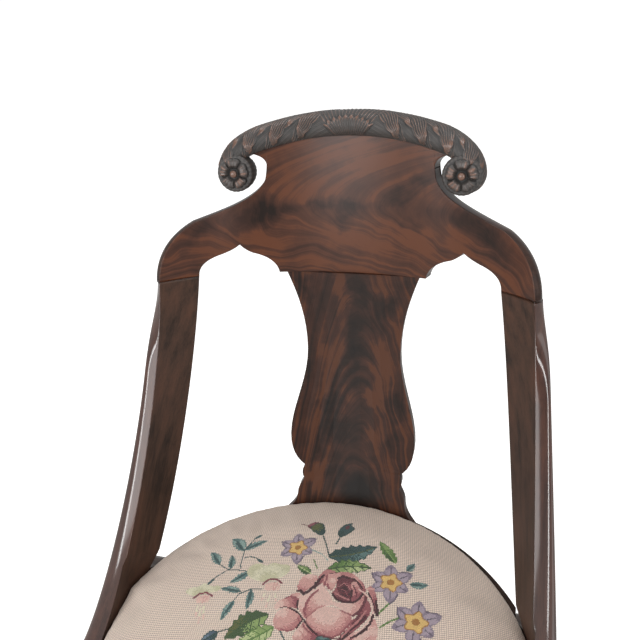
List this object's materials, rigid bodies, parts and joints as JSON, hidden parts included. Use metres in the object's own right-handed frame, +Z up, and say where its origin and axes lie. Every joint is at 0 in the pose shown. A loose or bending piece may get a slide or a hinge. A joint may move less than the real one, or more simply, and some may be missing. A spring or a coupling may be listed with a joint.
{
  "type": "side chair",
  "caption": "Wooden side chair with a curved crest and carved roll, vase-shaped splat, stiles that sweep down into the seat rails, sabre legs and a lift-out padded seat.",
  "frame": {"origin": "on the floor under the middle of the chair's bounding box", "axes": "+X to the right seen from the front, +Y towards the back, +Z up"},
  "size_m": [0.482, 0.6032, 0.8458],
  "materials": {
    "mahogany": "french polished mahogany",
    "flame_veneer": "french polished flame mahogany veneer",
    "dark_mahogany": "carved and waxed mahogany",
    "ash": "bare planed ash",
    "screw_steel": "dull steel",
    "jute_webbing": "woven jute",
    "hessian": "woven hessian",
    "horsehair": "hair under cotton wadding",
    "needlepoint": "wool needlepoint on canvas",
    "calico": "black calico"
  },
  "bodies": {
    "chair_frame": {"crest_board": "mahogany", "crest_veneer": "flame_veneer", "crest_roll": "dark_mahogany", "rosette_left": "dark_mahogany", "rosette_right": "dark_mahogany", "roll_dowels": "ash", "crest_dowels": "ash", "splat_core": "mahogany", "splat_veneer": "flame_veneer", "stile_left": "mahogany", "stile_right": "mahogany", "rear_rail": "mahogany", "front_rail": "mahogany", "front_leg_left": "mahogany", "front_leg_right": "mahogany", "rear_leg_left": "mahogany", "rear_leg_right": "mahogany", "ledger_left": "ash", "ledger_right": "ash", "ledger_screws": "screw_steel", "rail_dowels": "ash", "leg_dowels": "ash"},
    "slip_seat": {"seat_frame_front": "ash", "seat_frame_rear": "ash", "seat_frame_left": "ash", "seat_frame_right": "ash", "webbing_long": "jute_webbing", "webbing_cross": "jute_webbing", "hessian": "hessian", "stuffing": "horsehair", "needlepoint_cover": "needlepoint", "dust_cloth": "calico"}
  },
  "joints": [
    {"name": "seat_lift", "type": "slide", "parent": "chair_frame", "child": "slip_seat", "axis": [0, 0, 1], "range_m": [0, 0.12]}
  ]
}
